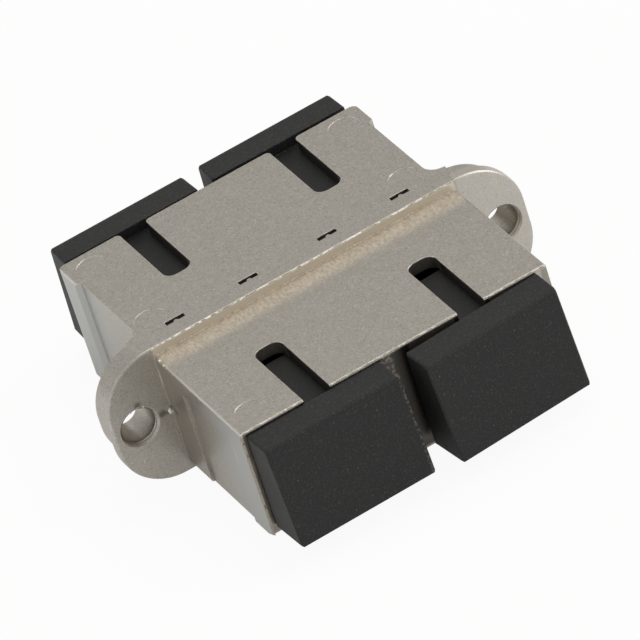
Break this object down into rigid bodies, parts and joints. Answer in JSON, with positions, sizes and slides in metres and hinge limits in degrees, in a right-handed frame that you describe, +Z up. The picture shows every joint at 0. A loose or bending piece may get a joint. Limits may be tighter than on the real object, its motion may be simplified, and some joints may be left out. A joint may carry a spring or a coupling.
{
  "type": "duplex fibre adapter",
  "caption": "Plated die-cast panel adapter with side-by-side fibre ports on both faces, screw ears, latch inserts, alignment sleeves and pull-out dust plugs.",
  "frame": {"origin": "middle of the plane where the two housing halves meet, between the screw holes", "axes": "+X along the flange to the right, +Y through the ports to the rear half, +Z up towards the key slots"},
  "size_m": [0.0346, 0.0368, 0.011],
  "materials": {
    "nickel_plating": "satin nickel plating over a die casting, fine grained",
    "black_insert": "moulded, satin",
    "sleeve_bronze": "bright drawn bronze",
    "dust_plug": "soft moulded, matte"
  },
  "bodies": {
    "housing": {"front_housing": "nickel_plating", "rear_housing": "nickel_plating", "front_left_insert": "black_insert", "front_right_insert": "black_insert", "rear_left_insert": "black_insert", "rear_right_insert": "black_insert", "left_sleeve": "sleeve_bronze", "right_sleeve": "sleeve_bronze"},
    "front_left_plug": {"front_left_dust_plug": "dust_plug"},
    "front_right_plug": {"front_right_dust_plug": "dust_plug"},
    "rear_left_plug": {"rear_left_dust_plug": "dust_plug"},
    "rear_right_plug": {"rear_right_dust_plug": "dust_plug"}
  },
  "joints": [
    {"name": "front_left_plug_pull", "type": "slide", "parent": "housing", "child": "front_left_plug", "axis": [0, -1, 0], "range_m": [0, 0.012]},
    {"name": "front_right_plug_pull", "type": "slide", "parent": "housing", "child": "front_right_plug", "axis": [0, -1, 0], "range_m": [0, 0.012]},
    {"name": "rear_left_plug_pull", "type": "slide", "parent": "housing", "child": "rear_left_plug", "axis": [0, 1, 0], "range_m": [0, 0.012]},
    {"name": "rear_right_plug_pull", "type": "slide", "parent": "housing", "child": "rear_right_plug", "axis": [0, 1, 0], "range_m": [0, 0.012]}
  ]
}
